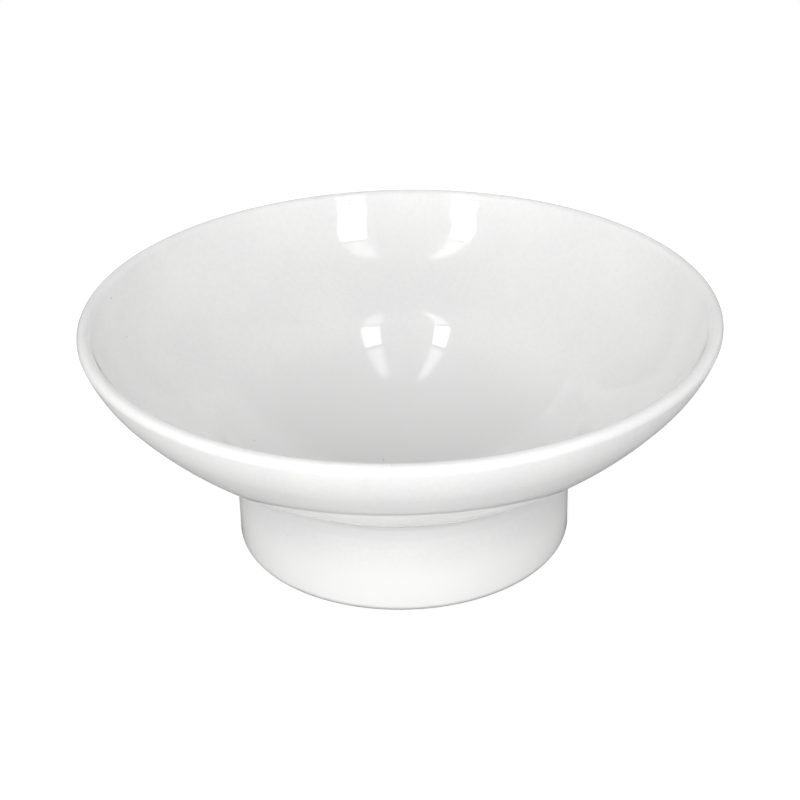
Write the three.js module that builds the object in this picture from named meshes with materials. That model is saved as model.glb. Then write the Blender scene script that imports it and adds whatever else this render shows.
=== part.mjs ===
// A footed porcelain bowl: a flared shell with a rounded lip, a round dish in its middle and a collar
// underneath, a hollow foot ring, and the thin seam of fired slip that holds the two together.
// Millimetres, +Z up. The origin is on the table, under the middle of the bowl.

import * as THREE from 'three';

const degrees = THREE.MathUtils.degToRad;

// Whole bowl
const rimDiameter = 160;
const undersideHeight = 24.6; // from the table to where underside and foot would cross
const floorHeight = 11.8; // from the table to the middle of the dish

// Outside of the shell
const wallThickness = 3.5; // the lip is a full round of this thickness
const wallLean = degrees(18.8); // lean of the wall from upright, just under the lip
const wallCurveRadius = 0.195 * rimDiameter; // outside curve of the upper wall
const flareTopSlope = degrees(51.3); // slope from level where the wall becomes the flare
const flareCurveRadius = 0.58 * rimDiameter; // outside curve of the flare
const undersideSlope = degrees(33); // slope from level of the straight underside

// Inside of the shell
const flareInsideRadius = 0.235 * rimDiameter; // the flare thickens downwards, so its inside curves more
const insideSlope = degrees(31.4); // slope from level of the straight stretch above the shoulder
const shoulderRadius = 24; // rounded shoulder between the flare and the dish
const dishWall = 3.65; // from the dish to the corner between underside and foot
const floorThickness = 4; // under the dish

// Collar under the shell, which stands on the foot
const coveReach = 1.6; // how far the cove reaches up the underside and down the collar
const recessDepth = 1.9; // height of the collar's inner side

// Foot
const footDiameter = 86.2;
const footWall = 5;
const seamThickness = 0.6;
const standingOuterRound = 1.9;
const standingInnerRound = 1.2;

// Facets
const facetDepth = 0.08; // how far a flat facet may lie from its true curve
const stepsAround = 72;

// Radii that follow from the sizes above
const rimRadius = rimDiameter / 2;
const footRadius = footDiameter / 2;
const hollowRadius = footRadius - footWall;
const lipRound = wallThickness / 2;
const wallInsideRadius = wallCurveRadius - wallThickness;

// Angles of the outline's arcs: 0 points away from the axis and a quarter turn points up.
const wallAngle = -wallLean;
const flareAngle = flareTopSlope - Math.PI / 2;
const undersideAngle = undersideSlope - Math.PI / 2;
const insideAngle = insideSlope - Math.PI / 2;

// The outside is first hung from a lip at table height, and then lifted until its underside, carried
// on in a straight line, meets the foot's wall at the height given above.
const hung = outsideCentres(point(rimRadius - lipRound, 0));
const hungCrossing = hung.undersideTop.y - (hung.undersideTop.x - footRadius) * Math.tan(undersideSlope);
const lipCentre = point(rimRadius - lipRound, undersideHeight - hungCrossing);
const { wallCentre, flareCentre } = outsideCentres(lipCentre);
const flareInsideCentre = onCircle(wallCentre, wallInsideRadius - flareInsideRadius, flareAngle);

// The dish is part of a ball on the axis, and leaves the dish wall's thickness at that crossing.
const dishRise = undersideHeight - floorHeight;
const dishRadius = (footRadius ** 2 + dishRise ** 2 - dishWall ** 2) / (2 * (dishWall + dishRise));
const dishCentre = point(0, floorHeight + dishRadius);
const shoulderCentre = shoulderTouch();
const dishAngle = shoulderCentre.clone().sub(dishCentre).angle() - 2 * Math.PI;

// The recess keeps the floor's thickness under the dish, and the joint lies below the recess's edge.
const recessRadius = dishRadius + floorThickness;
const recessAngle = -Math.acos(hollowRadius / recessRadius);
const collarBase = onCircle(dishCentre, recessRadius, recessAngle).y - recessDepth;
const footHeight = collarBase - seamThickness;

function point(radius, height) {
  return new THREE.Vector2(radius, height);
}

function onCircle(centre, radius, angle) {
  return point(centre.x + radius * Math.cos(angle), centre.y + radius * Math.sin(angle));
}

// Neighbouring arcs touch, so their centres lie in line with the point where they meet.
function outsideCentres(lip) {
  const wall = onCircle(lip, lipRound - wallCurveRadius, wallAngle);
  const flare = onCircle(wall, wallCurveRadius - flareCurveRadius, flareAngle);
  const undersideTop = onCircle(flare, flareCurveRadius, undersideAngle);
  return { wallCentre: wall, flareCentre: flare, undersideTop };
}

// The shoulder's centre runs down along the straight inside until the shoulder touches the dish.
function shoulderTouch() {
  const start = onCircle(flareInsideCentre, flareInsideRadius + shoulderRadius, insideAngle);
  const inwards = onCircle(point(0, 0), 1, Math.PI + insideSlope);
  const gap = start.clone().sub(dishCentre);
  const along = -gap.dot(inwards);
  const reach = dishRadius + shoulderRadius;
  return start.addScaledVector(inwards, along - Math.sqrt(along ** 2 - gap.lengthSq() + reach ** 2));
}

// An arc of the outline.
function arc(centre, radius, fromAngle, toAngle) {
  const facetAngle = 2 * Math.acos(1 - facetDepth / radius);
  const steps = Math.ceil(Math.abs(toAngle - fromAngle) / facetAngle);
  const clockwise = toAngle < fromAngle;
  return new THREE.ArcCurve(centre.x, centre.y, radius, fromAngle, toAngle, clockwise).getPoints(steps);
}

// The hollow underneath: level at the axis, and up to the collar's inner side.
function recessOutline() {
  return arc(dishCentre, recessRadius, -Math.PI / 2, recessAngle);
}

// The collar's wall runs up into the underside through a cove that touches both.
function coveOutline() {
  const coveRadius = coveReach * Math.tan((Math.PI / 2 + undersideSlope) / 2);
  const centre = point(footRadius + coveRadius, undersideHeight - coveReach);
  return arc(centre, coveRadius, Math.PI, Math.PI / 2 + undersideSlope);
}

function outsideOutline() {
  return [
    ...coveOutline(),
    ...arc(flareCentre, flareCurveRadius, undersideAngle, flareAngle),
    ...arc(wallCentre, wallCurveRadius, flareAngle, wallAngle).slice(1),
  ];
}

function insideOutline() {
  return [
    ...arc(wallCentre, wallInsideRadius, wallAngle, flareAngle),
    ...arc(flareInsideCentre, flareInsideRadius, flareAngle, insideAngle).slice(1),
    ...arc(shoulderCentre, shoulderRadius, insideAngle + Math.PI, dishAngle + Math.PI),
    ...arc(dishCentre, dishRadius, dishAngle, -Math.PI / 2).slice(1, -1),
    point(0, floorHeight),
  ];
}

function shellOutline() {
  const lip = arc(lipCentre, lipRound, wallAngle, Math.PI + wallAngle);
  return [
    point(0, floorHeight - floorThickness),
    ...recessOutline().slice(1),
    point(hollowRadius, collarBase),
    point(footRadius, collarBase),
    ...outsideOutline(),
    ...lip.slice(1, -1),
    ...insideOutline(),
  ];
}

function footOutline() {
  const innerRound = point(hollowRadius + standingInnerRound, standingInnerRound);
  const outerRound = point(footRadius - standingOuterRound, standingOuterRound);
  const outline = [
    ...arc(innerRound, standingInnerRound, Math.PI, 1.5 * Math.PI),
    ...arc(outerRound, standingOuterRound, 1.5 * Math.PI, 2 * Math.PI),
    point(footRadius, footHeight),
    point(hollowRadius, footHeight),
  ];
  return [...outline, outline[0]];
}

function seamOutline() {
  const outline = [
    point(hollowRadius, footHeight),
    point(footRadius, footHeight),
    point(footRadius, collarBase),
    point(hollowRadius, collarBase),
  ];
  return [...outline, outline[0]];
}

// A piece turned about the upright axis.
function turnedPiece(name, outline, color, roughness) {
  const geometry = new THREE.LatheGeometry(outline, stepsAround).rotateX(Math.PI / 2);
  const material = new THREE.MeshStandardMaterial({ color, roughness, metalness: 0 });
  const piece = new THREE.Mesh(geometry, material);
  piece.name = name;
  return piece;
}

const bowl = new THREE.Group();
bowl.add(turnedPiece('bowl_shell', shellOutline(), 0xf1f1ee, 0.1));
bowl.add(turnedPiece('slip_seam', seamOutline(), 0xe9e8e3, 0.16));
bowl.add(turnedPiece('foot_ring', footOutline(), 0xf0f0ed, 0.12));

export default bowl;
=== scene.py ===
import math

import bmesh
import bpy
from mathutils import Matrix, Vector


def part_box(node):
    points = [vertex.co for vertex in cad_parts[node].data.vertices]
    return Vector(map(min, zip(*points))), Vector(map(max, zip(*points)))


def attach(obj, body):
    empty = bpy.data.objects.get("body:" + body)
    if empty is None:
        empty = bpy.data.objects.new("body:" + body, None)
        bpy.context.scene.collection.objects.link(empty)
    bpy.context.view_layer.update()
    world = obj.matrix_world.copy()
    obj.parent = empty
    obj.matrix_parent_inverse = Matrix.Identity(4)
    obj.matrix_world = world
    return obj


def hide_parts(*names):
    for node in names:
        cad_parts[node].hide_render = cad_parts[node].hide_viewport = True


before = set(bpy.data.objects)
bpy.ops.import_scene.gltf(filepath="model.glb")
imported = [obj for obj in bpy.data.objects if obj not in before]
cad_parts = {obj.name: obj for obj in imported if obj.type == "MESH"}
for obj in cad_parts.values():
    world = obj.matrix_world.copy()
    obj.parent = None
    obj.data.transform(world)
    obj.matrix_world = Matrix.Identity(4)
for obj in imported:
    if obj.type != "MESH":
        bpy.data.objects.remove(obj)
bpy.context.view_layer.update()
mm = 0.001
print("frame loaded:", ", ".join(sorted(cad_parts)))


# what shell, seam and foot share

sharedSizes = {
    "ringWidth": 5 * mm,  # of the flat faces where collar, seam and foot meet
    "stepsAround": 256,
    "sharpFrom": math.radians(35),  # edges that turn further than this stay sharp
    "weld": 0.001 * mm,
}
seamLow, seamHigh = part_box("slip_seam")
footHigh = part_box("foot_ring")[1]
footRadius = footHigh.x
hollowRadius = footRadius - sharedSizes["ringWidth"]


# outlines are drawn in the XZ plane, then turned about Z

def onCircle(centre, radius, angle):  # 0 points away from the axis, a quarter turn points up
    return centre + radius * Vector((math.cos(angle), math.sin(angle)))


def startOutline(bm, radius, height):
    return bm.verts.new((radius, 0, height))


def drawLine(bm, pen, radius, height, steps=1):
    start, end = pen.co.copy(), Vector((radius, 0, height))
    for step in range(1, steps + 1):
        pen = bmesh.ops.extrude_vert_indiv(bm, verts=[pen])["verts"][0]
        pen.co = start.lerp(end, step / steps)
    return pen


# a positive turn goes anticlockwise, with Z up and the radius to the right
def drawArc(bm, pen, centre, turn, steps):
    middle = (centre.x, 0, centre.y)
    arc = bmesh.ops.spin(bm, geom=[pen], cent=middle, axis=(0, -1, 0), angle=turn, steps=steps)
    return next(item for item in arc["geom_last"] if isinstance(item, bmesh.types.BMVert))


def turnPiece(name, bm):
    bmesh.ops.spin(bm, geom=bm.verts[:] + bm.edges[:], cent=(0, 0, 0), axis=(0, 0, 1), angle=math.tau,
                   steps=sharedSizes["stepsAround"], use_merge=True)
    bmesh.ops.remove_doubles(bm, verts=bm.verts[:], dist=sharedSizes["weld"])
    bmesh.ops.recalc_face_normals(bm, faces=bm.faces[:])
    for face in bm.faces:
        face.smooth = True
    mesh = bpy.data.meshes.new(name)
    bm.to_mesh(mesh)
    bm.free()
    mesh.set_sharp_from_angle(angle=sharedSizes["sharpFrom"])
    piece = bpy.data.objects.new(name, mesh)
    bpy.context.scene.collection.objects.link(piece)
    print("turned", name, "with", len(mesh.polygons), "faces")
    return piece


def finishPiece(piece, material, node):
    piece.data.materials.append(material)
    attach(piece, "root")
    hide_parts(node)
    print("finished", piece.name, "with", material.name)


# shader maths on wrapped sockets

class Wire:
    def __init__(self, tree, socket):
        self.tree = tree
        self.socket = socket

    # inputs go by their names, or by their places as i0, i1 and so on
    def node(self, kind, settings=None, out=0, **inputs):
        made = self.tree.nodes.new(kind)
        for key, value in (settings or {}).items():
            setattr(made, key, value)
        for key, value in inputs.items():
            byPlace = key[0] == "i" and key[1:].isdigit()
            slot = made.inputs[int(key[1:]) if byPlace else key]
            if isinstance(value, Wire):
                self.tree.links.new(value.socket, slot)
            else:
                slot.default_value = value
        return Wire(self.tree, made.outputs[out])

    def maths(self, operation, first, second=0.0):
        return self.node("ShaderNodeMath", {"operation": operation}, i0=first, i1=second)

    def __add__(self, other):
        return self.maths("ADD", self, other)

    def __sub__(self, other):
        return self.maths("SUBTRACT", self, other)

    def __rsub__(self, other):
        return self.maths("SUBTRACT", other, self)

    def __mul__(self, other):
        return self.maths("MULTIPLY", self, other)

    def __pow__(self, other):
        return self.maths("POWER", self, other)

    def __rpow__(self, other):
        return self.maths("POWER", other, self)

    __radd__ = __add__
    __rmul__ = __mul__

    def larger(self, other):
        return self.maths("MAXIMUM", self, other)

    def smooth(self, low, high):  # 0 below low, 1 above high
        soft = {"interpolation_type": "SMOOTHSTEP"}
        return self.node("ShaderNodeMapRange", soft, i0=self, i1=low, i2=high)

    def facing(self, direction):  # how far two directions agree, and no less than 0
        dot = {"operation": "DOT_PRODUCT"}
        return self.node("ShaderNodeVectorMath", dot, out=1, i0=self, i1=direction).larger(0.0)


def newMaterial(name):
    material = bpy.data.materials.new(name)
    material.use_nodes = True
    tree = material.node_tree
    shader = tree.nodes["Principled BSDF"]
    place = tree.nodes.new("ShaderNodeTexCoord")
    return material, shader, Wire(tree, place.outputs["Object"])


def link(shader, name, wire):
    wire.tree.links.new(wire.socket, shader.inputs[name])


def mixColour(share, first, second):
    return share.node("ShaderNodeMix", {"data_type": "RGBA"}, out=2, i0=share, i6=first, i7=second)


def noise(place, scale, detail=2.0):
    return place.node("ShaderNodeTexNoise", Vector=place, Scale=scale, Detail=detail)


# glaze, the same on all three pieces

glazeLook = {
    "white": (0.8, 0.8, 0.794, 1),
    "clouded": (0.755, 0.758, 0.756, 1),  # in faint clouds and fine mottling
    "paintedLightTone": (0.742, 0.743, 0.741, 1),  # a painted shade tone, laid on where a piece's mask puts painted shade
    "speck": (0.46, 0.43, 0.39, 1),
    "cloudScale": 42,  # per metre, as are the other scales
    "cloudEdge": (0.35, 0.68),
    "cloudShare": 0.5,
    "grainScale": 800,
    "grainEdge": (0.3, 0.7),
    "grainShare": 0.5,
    "speckScale": 100,
    "speckSize": (0.018, 0.036),  # share of a speck's cell
    "speckShare": 0.75,
    "roughness": 0.015,
    "cloudRoughness": 0.02,  # added in the clouds
    "grainRoughness": 0.01,
    "ior": 1.55,
    "waveScale": 34,
    "waveDetail": 1.0,
    "waveHeight": 0.02 * mm,
    "peelScale": 320,
    "peelShare": 0.05,
}


# the mask passed in says where light or shade is painted into the colour, and bareRing where the glaze
# ends
def makeGlaze(name, look, paintedLightMask=None, bareRing=None):
    material, shader, place = newMaterial(name)
    x, y, height = (place.node("ShaderNodeSeparateXYZ", out=axis, i0=place) for axis in range(3))
    radius = (x * x + y * y) ** 0.5
    cloud = noise(place, look["cloudScale"]).smooth(*look["cloudEdge"])
    grain = noise(place, look["grainScale"]).smooth(*look["grainEdge"])
    mottled = cloud * look["cloudShare"] + grain * look["grainShare"]
    colour = mixColour(mottled, look["white"], look["clouded"])
    # painted shade on the shell and painted light on the foot: the mask mixes in the painted tone
    if paintedLightMask:
        colour = mixColour(paintedLightMask(radius, height), colour, look["paintedLightTone"])
    toSpeck = place.node("ShaderNodeTexVoronoi", Vector=place, Scale=look["speckScale"])
    speck = 1 - toSpeck.smooth(*look["speckSize"])
    colour = mixColour(speck * look["speckShare"], colour, look["speck"])
    rough = look["roughness"] + cloud * look["cloudRoughness"] + grain * look["grainRoughness"]
    if bareRing:
        colour, rough = bareRing(place, height, colour, rough)
    wave = noise(place, look["waveScale"], look["waveDetail"])
    wave = wave + noise(place, look["peelScale"]) * look["peelShare"]
    bump = place.node("ShaderNodeBump", Height=wave, Strength=1.0, Distance=look["waveHeight"])
    link(shader, "Base Color", colour)
    link(shader, "Roughness", rough)
    link(shader, "Normal", bump)
    shader.inputs["IOR"].default_value = look["ior"]
    return material


# bowl shell: a flared wall with a round dish in the middle, and a collar underneath

shellSizes = {
    "rim": 80 * mm,
    "undersideHeight": 24.6 * mm,  # table to where underside and foot would cross
    "floorHeight": 11.8 * mm,  # table to the middle of the dish
    "wall": 3.5 * mm,  # the lip is a full round of this thickness
    "wallLean": math.radians(18.8),  # from upright, just under the lip
    "wallCurve": 31.2 * mm,
    "flareTopSlope": math.radians(51.3),
    "flareCurve": 92.8 * mm,
    "undersideSlope": math.radians(33),
    "flareInside": 37.6 * mm,
    "insideSlope": math.radians(31.4),
    "shoulder": 24 * mm,
    "dishWall": 3.65 * mm,  # dish to the corner between underside and foot
    "floor": 4 * mm,
    "cove": 1.6 * mm,  # reach of the cove between underside and collar
    "steps": {"recess": 20, "collar": 4, "cove": 10, "underside": 6, "flare": 16, "wall": 20, "lip": 24,
              "straight": 8, "shoulder": 14, "dish": 40},
}


def hangOutside(sizes, lipCentre):  # centres of the arcs that touch one another below the lip
    flareAngle = sizes["flareTopSlope"] - math.pi / 2
    undersideAngle = sizes["undersideSlope"] - math.pi / 2
    wallCentre = onCircle(lipCentre, sizes["wall"] / 2 - sizes["wallCurve"], -sizes["wallLean"])
    flareCentre = onCircle(wallCentre, sizes["wallCurve"] - sizes["flareCurve"], flareAngle)
    undersideTop = onCircle(flareCentre, sizes["flareCurve"], undersideAngle)
    return wallCentre, flareCentre, undersideTop


def makeShell(sizes):
    slope, wall, floorHeight = sizes["undersideSlope"], sizes["wall"], sizes["floorHeight"]
    shoulder, dishWall, steps = sizes["shoulder"], sizes["dishWall"], sizes["steps"]
    wallAngle = -sizes["wallLean"]
    flareAngle, undersideAngle, insideAngle = (
        sizes[key] - math.pi / 2 for key in ("flareTopSlope", "undersideSlope", "insideSlope"))

    # the outside is lifted until its underside points at the crossing with the foot
    lipCentre = Vector((sizes["rim"] - wall / 2, 0))
    undersideTop = hangOutside(sizes, lipCentre)[2]
    crossing = undersideTop.y - (undersideTop.x - footRadius) * math.tan(slope)
    lipCentre.y = sizes["undersideHeight"] - crossing
    wallCentre, flareCentre, undersideTop = hangOutside(sizes, lipCentre)

    # the dish is part of a ball, and its shoulder touches both it and the straight inside
    rise = sizes["undersideHeight"] - floorHeight
    dishRadius = (footRadius ** 2 + rise ** 2 - dishWall ** 2) / (2 * (dishWall + rise))
    dishCentre = Vector((0, floorHeight + dishRadius))
    insideReach = sizes["wallCurve"] - wall - sizes["flareInside"]
    flareInsideCentre = onCircle(wallCentre, insideReach, flareAngle)
    shoulderStart = onCircle(flareInsideCentre, sizes["flareInside"] + shoulder, insideAngle)
    inwards = onCircle(Vector((0, 0)), 1, math.pi + sizes["insideSlope"])
    gap = shoulderStart - dishCentre
    along = -gap.dot(inwards)
    reach = dishRadius + shoulder
    past = math.sqrt(along ** 2 - gap.length_squared + reach ** 2)
    shoulderCentre = shoulderStart + inwards * (along - past)
    dishAngle = math.atan2(shoulderCentre.y - dishCentre.y, shoulderCentre.x - dishCentre.x)
    shoulderTop = onCircle(shoulderCentre, shoulder, insideAngle + math.pi)
    recessAngle = -math.acos(hollowRadius / (dishRadius + sizes["floor"]))
    coveRadius = sizes["cove"] * math.tan((math.pi / 2 + slope) / 2)
    coveCentre = Vector((footRadius + coveRadius, sizes["undersideHeight"] - sizes["cove"]))

    bm = bmesh.new()
    pen = startOutline(bm, 0, floorHeight - sizes["floor"])
    pen = drawArc(bm, pen, dishCentre, recessAngle + math.pi / 2, steps["recess"])
    pen = drawLine(bm, pen, hollowRadius, seamHigh.z)
    pen = drawLine(bm, pen, footRadius, seamHigh.z)
    pen = drawLine(bm, pen, footRadius, coveCentre.y, steps["collar"])
    pen = drawArc(bm, pen, coveCentre, slope - math.pi / 2, steps["cove"])
    pen = drawLine(bm, pen, undersideTop.x, undersideTop.y, steps["underside"])
    pen = drawArc(bm, pen, flareCentre, flareAngle - undersideAngle, steps["flare"])
    pen = drawArc(bm, pen, wallCentre, wallAngle - flareAngle, steps["wall"])
    pen = drawArc(bm, pen, lipCentre, math.pi, steps["lip"])
    pen = drawArc(bm, pen, wallCentre, flareAngle - wallAngle, steps["wall"])
    pen = drawArc(bm, pen, flareInsideCentre, insideAngle - flareAngle, steps["flare"])
    pen = drawLine(bm, pen, shoulderTop.x, shoulderTop.y, steps["straight"])
    pen = drawArc(bm, pen, shoulderCentre, dishAngle - insideAngle, steps["shoulder"])
    pen = drawArc(bm, pen, dishCentre, -math.pi / 2 - dishAngle, steps["dish"])
    pen.co = (0, 0, floorHeight)
    return turnPiece("porcelain_shell", bm)


# painted shade: the shell is darkened in its dish and in the crease over the foot, where shade falls
shellPaintedShade = {
    "dishShare": 0.9,
    "dishEdge": (33 * mm, 50 * mm),  # from the axis
    "dishHeight": (9 * mm, 11 * mm),  # keeps the recess under the dish clear
    "creaseFoot": (19.4 * mm, 21.4 * mm),
    "creaseTop": (24 * mm, 25 * mm),
    "creaseInner": (42 * mm, 42.5 * mm),  # keeps the inside of the bowl clear
}


def shellPaintedShadeMask(radius, height):  # painted shade in the dish, and a painted shadow of the bowl in the crease over the foot
    dish = 1 - radius.smooth(*shellPaintedShade["dishEdge"])
    dish = dish * height.smooth(*shellPaintedShade["dishHeight"]) * shellPaintedShade["dishShare"]
    crease = height.smooth(*shellPaintedShade["creaseFoot"]) * (1 - height.smooth(*shellPaintedShade["creaseTop"]))
    return dish.larger(crease * radius.smooth(*shellPaintedShade["creaseInner"]))


shellGlaze = makeGlaze("shell glaze", glazeLook, shellPaintedShadeMask)
finishPiece(makeShell(shellSizes), shellGlaze, "bowl_shell")


# seam of fired slip

def makeSeam():
    bm = bmesh.new()
    pen = start = startOutline(bm, hollowRadius, seamLow.z)
    pen = drawLine(bm, pen, footRadius, seamLow.z)
    pen = drawLine(bm, pen, footRadius, seamHigh.z)
    pen = drawLine(bm, pen, hollowRadius, seamHigh.z)
    bm.edges.new((pen, start))
    return turnPiece("fired_slip_seam", bm)


finishPiece(makeSeam(), makeGlaze("seam glaze", glazeLook), "slip_seam")


# foot ring, with a bare standing ring

footSizes = {
    "outerRound": 1.9 * mm,
    "innerRound": 1.2 * mm,
    "steps": {"outerRound": 14, "innerRound": 10, "wall": 8},
}
footFinish = {
    "thin": (0.825, 0.825, 0.82, 1),  # painted light: whiter towards the bottom of the foot, below the shade that the bowl casts on its top
    "thinTo": (9 * mm, 17.5 * mm),
    "bare": (0.72, 0.71, 0.68, 1),  # unglazed porcelain of the standing ring
    "bareRoughness": 0.55,
    "glazeLine": (0.3 * mm, 0.6 * mm),  # the glaze ends between these heights
    "glazeWobble": 0.3 * mm,
    "wobbleScale": 120,
    "scuffed": (0.56, 0.55, 0.53, 1),
    "scuffScale": 260,
    "scuffDetail": 4.0,
    "scuffEdge": (0.5, 0.72),
}


def makeFoot(sizes):
    outer, inner, steps = sizes["outerRound"], sizes["innerRound"], sizes["steps"]
    innerCentre = Vector((hollowRadius + inner, inner))
    outerCentre = Vector((footRadius - outer, outer))
    bm = bmesh.new()
    pen = start = startOutline(bm, hollowRadius, inner)
    pen = drawArc(bm, pen, innerCentre, math.pi / 2, steps["innerRound"])
    pen = drawLine(bm, pen, footRadius - outer, 0)
    pen = drawArc(bm, pen, outerCentre, math.pi / 2, steps["outerRound"])
    pen = drawLine(bm, pen, footRadius, footHigh.z, steps["wall"])
    pen = drawLine(bm, pen, hollowRadius, footHigh.z)
    bm.edges.new((pen, start))
    return turnPiece("hollow_foot", bm)


# painted light: 1 towards the bottom of the foot, where the bowl's shade ends
def footPaintedLight(radius, height):
    return 1 - height.smooth(*footFinish["thinTo"])


def standingRing(place, height, colour, rough):  # bare and scuffed below the end of the glaze
    wobble = (noise(place, footFinish["wobbleScale"]) - 0.5) * footFinish["glazeWobble"]
    glazed = (height + wobble).smooth(*footFinish["glazeLine"])
    scuff = noise(place, footFinish["scuffScale"], footFinish["scuffDetail"])
    bare = mixColour(scuff.smooth(*footFinish["scuffEdge"]), footFinish["bare"], footFinish["scuffed"])
    rough = glazed * rough + (1 - glazed) * footFinish["bareRoughness"]
    return mixColour(glazed, bare, colour), rough


# on the foot, the painted light tone takes the place of the painted shade
footLook = glazeLook | {"paintedLightTone": footFinish["thin"]}
footGlaze = makeGlaze("foot glaze", footLook, footPaintedLight, standingRing)
finishPiece(makeFoot(footSizes), footGlaze, "foot_ring")


# floor: white to look at, and a grey sheet for the light and the mirrored view that the bowl gets of it,
# with a painted contact shadow round the foot

floorLook = {
    "half": 280 * mm,
    "sheet": (0.5, 0.5, 0.5, 1),
    "beyond": (0.06, 0.06, 0.06, 1),  # the dim room past the sheet
    "sheetEdge": (150 * mm, 300 * mm),  # from the bowl's axis
    "paintedContactShadow": (0.05, 0.05, 0.05, 1),  # painted contact shadow: a dark ring on the floor round the foot, which the glaze mirrors as a dark line along the foot
    "paintedContactShadowEdge": (43.2 * mm, 45.8 * mm),
    "seen": (0.25, 0.25, 0.25, 1),  # what keeps the shadow where the floor is looked at
    "glow": 0.86,  # and brings the open floor up to white there
    "roughness": 0.8,
}


def makeFloor(look):
    bm = bmesh.new()
    bmesh.ops.create_grid(bm, x_segments=1, y_segments=1, size=look["half"])
    mesh = bpy.data.meshes.new("floor")
    bm.to_mesh(mesh)
    bm.free()
    made = bpy.data.objects.new("floor", mesh)
    bpy.context.scene.collection.objects.link(made)
    return made


def lookedAt(wire):  # 1 where the camera looks straight at the surroundings, or through something clear
    rays = ("Is Camera Ray", "Is Transmission Ray")
    straight, through = (wire.node("ShaderNodeLightPath", out=ray) for ray in rays)
    return straight.larger(through)


def makeFloorWhite(look):
    material, shader, place = newMaterial("white floor")
    away = place.node("ShaderNodeVectorMath", {"operation": "LENGTH"}, out=1, i0=place)
    # painted contact shadow: the sheet is darkened in a ring round the foot
    sheet = mixColour(away.smooth(*look["paintedContactShadowEdge"]), look["paintedContactShadow"], look["sheet"])
    sheet = mixColour(away.smooth(*look["sheetEdge"]), sheet, look["beyond"])
    link(shader, "Base Color", sheet)
    shader.inputs["Roughness"].default_value = look["roughness"]
    seen = place.node("ShaderNodeBsdfDiffuse", Color=look["seen"])
    glow = place.node("ShaderNodeEmission", Strength=look["glow"])
    white = place.node("ShaderNodeAddShader", i0=seen, i1=glow)
    grey = Wire(place.tree, shader.outputs[0])
    mixed = place.node("ShaderNodeMixShader", i0=lookedAt(place), i1=grey, i2=white)
    link(place.tree.nodes["Material Output"], "Surface", mixed)
    return material


floor = makeFloor(floorLook)
floor.data.materials.append(makeFloorWhite(floorLook))
print("floor laid")


# camera, at the photograph's angle

cameraView = {
    "target": Vector((-0.3689, 0, 36.0585)) * mm,
    "distance": 471.47 * mm,
    "elevation": 0.4913,  # radians, as is the roll
    "roll": -0.023,
    "focalPixels": 1838.85,
    "framePixels": 800,
    "nearest": 10 * mm,
}


def makeCamera(view):
    data = bpy.data.cameras.new("camera")
    made = bpy.data.objects.new("camera", data)
    bpy.context.scene.collection.objects.link(made)
    rise = view["elevation"]
    back = Vector((0, -math.cos(rise), math.sin(rise)))
    tilt = Matrix.Rotation(math.pi / 2 - rise, 4, "X") @ Matrix.Rotation(view["roll"], 4, "Z")
    made.matrix_world = Matrix.Translation(view["target"] + back * view["distance"]) @ tilt
    data.lens = data.sensor_width * view["focalPixels"] / view["framePixels"]
    data.clip_start = view["nearest"]
    return made


bpy.context.scene.camera = makeCamera(cameraView)
print("camera placed")


# light: two tall panels that the glaze mirrors, a pale backdrop at the sides and back, a dim ceiling,
# and soft fills that leave no highlight

studio = {
    "ceiling": 0.2,
    "ceilingFrom": (28, 60),  # degrees above the floor, as are the other heights
    "ceilingRound": (60, 120),  # degrees round from the front
    "side": 0.4,
    "back": 0.52,
    "backdropFrom": (85, 105),
    "backdropFoot": (-5, 0),
    "backdropTop": (28, 48),
    "sideToBack": (125, 145),
    "sideFill": 3.2,
    "sideFillFrom": (10, 20),
    "fills": [  # round, up, strength and how narrow; those below 0 come in past the floor's edge
        (-36, -7, 11.6, 50), (45, -7, 9.0, 50),
        (-36, 7, 1.7, 50), (18, 7, 4.5, 50),
        (-28, 18, 3.2, 50), (0, 42, 8.8, 60),
        (-165, -7, 6.0, 50), (165, -7, 6.0, 50), (180, 50, 1.6, 50),
    ],
}
lightPanels = [  # right and left: degrees round to both edges, and how far each turns per degree up
    {"side": 1, "inner": 12.6, "innerTurn": 0.18, "outer": 24.2, "outerTurn": 0.36, "bar": 61.4,
     "low": 5.4, "high": 6.0, "tail": 2.6},
    {"side": -1, "inner": 22.2, "innerTurn": 0.30, "outer": 32.9, "outerTurn": 0.40, "bar": 60.4,
     "low": 5.4, "high": 7.0, "tail": 3.1},
]
panelLook = {
    "edge": 0.5,
    "foot": (17, 20),
    "lean": 32,  # above this the panels lean over the bowl
    "lowToHigh": (36, 48),  # the strength goes from low to high between these heights
    "barHalf": (0.6, 1.1),  # the dark bar between a panel and its dimmer tail
    "tailInner": 5,
    "tailOuter": 4,
    "tailEnd": (75, 81),
}


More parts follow.
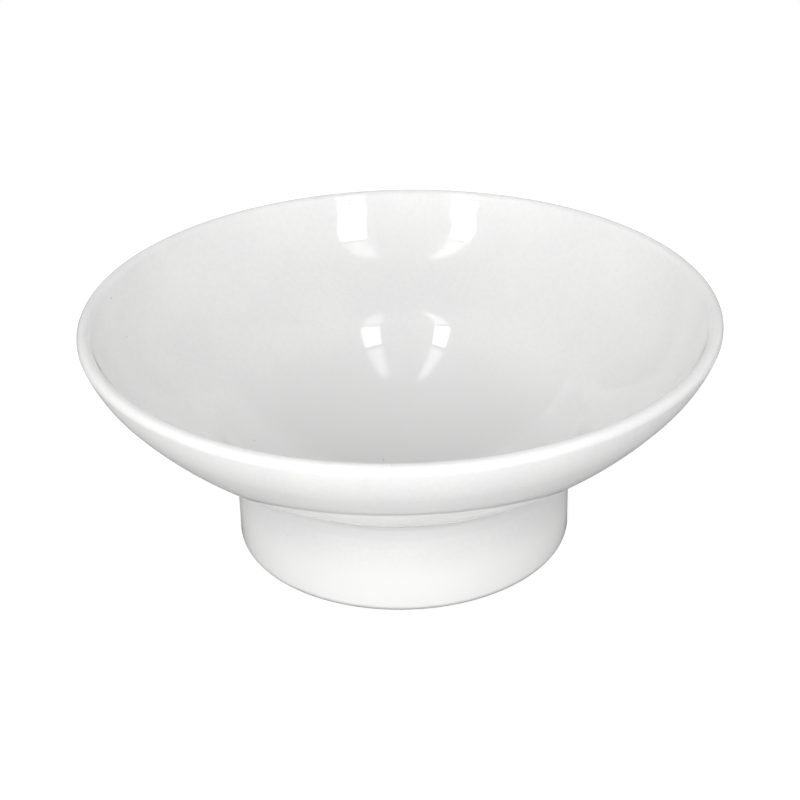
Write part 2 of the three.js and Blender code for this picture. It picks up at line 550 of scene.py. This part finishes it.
def makePanel(around, up, panel, look):
    across = around * panel["side"]
    rise = (up - look["lean"]).larger(0.0)
    inner = rise * panel["innerTurn"] + panel["inner"]
    outer = rise * panel["outerTurn"] + panel["outer"]
    bar, (barNear, barFar) = panel["bar"], look["barHalf"]

    def between(innerSoft, outerSoft):
        fromInner = across.smooth(inner - innerSoft, inner + innerSoft)
        return fromInner * (1 - across.smooth(outer - outerSoft, outer + outerSoft))

    sheet = between(look["edge"], look["edge"]) * up.smooth(*look["foot"])
    sheet = sheet * (1 - up.smooth(bar - barFar, bar - barNear))
    strength = up.smooth(*look["lowToHigh"]) * (panel["high"] - panel["low"]) + panel["low"]
    tail = between(look["tailInner"], look["tailOuter"]) * up.smooth(bar + barNear, bar + barFar)
    tail = tail * (1 - up.smooth(*look["tailEnd"]))
    return sheet * strength + tail * panel["tail"]


def makeStudio(look):
    world = bpy.data.worlds.new("studio")
    world.use_nodes = True
    tree = world.node_tree
    direction = Wire(tree, tree.nodes.new("ShaderNodeTexCoord").outputs["Generated"])
    x, y, z = (direction.node("ShaderNodeSeparateXYZ", out=axis, i0=direction) for axis in range(3))
    around = x.maths("ARCTAN2", x, y * -1) * math.degrees(1)  # 0 is the front, and the right is positive
    up = z.maths("ARCSINE", z) * math.degrees(1)
    turned = around.maths("ABSOLUTE", around)
    unmirrored = 1 - direction.node("ShaderNodeLightPath", out="Is Glossy Ray")

    light = up.smooth(*look["ceilingFrom"]) * turned.smooth(*look["ceilingRound"]) * look["ceiling"]
    toBack = turned.smooth(*look["sideToBack"])
    backdrop = turned.smooth(*look["backdropFrom"]) * (1 - up.smooth(*look["backdropTop"]))
    pale = toBack * (look["back"] - look["side"]) + look["side"]
    light += pale * backdrop * up.smooth(*look["backdropFoot"])
    sideFill = (1 - toBack) * backdrop * up.smooth(*look["sideFillFrom"])
    light += sideFill * unmirrored * look["sideFill"]
    for panel in lightPanels:
        light += makePanel(around, up, panel, panelLook)
    for turn, rise, strength, focus in look["fills"]:
        turn, rise = math.radians(turn), math.radians(rise)
        level = math.cos(rise)
        towards = (math.sin(turn) * level, -math.cos(turn) * level, math.sin(rise))
        light += direction.facing(towards) ** focus * unmirrored * strength

    lit = tree.nodes["Background"]
    lit.inputs["Color"].default_value = (1, 1, 1, 1)
    link(lit, "Strength", light)
    glow = Wire(tree, lit.outputs[0])
    white = direction.node("ShaderNodeBackground", Color=(1, 1, 1, 1), Strength=1.0)
    mixed = direction.node("ShaderNodeMixShader", i0=lookedAt(direction), i1=glow, i2=white)
    link(tree.nodes["World Output"], "Surface", mixed)
    return world


bpy.context.scene.world = makeStudio(studio)
bpy.context.scene.view_settings.view_transform = "Standard"
print("studio lit with", len(lightPanels), "panels and", len(studio["fills"]), "fills")
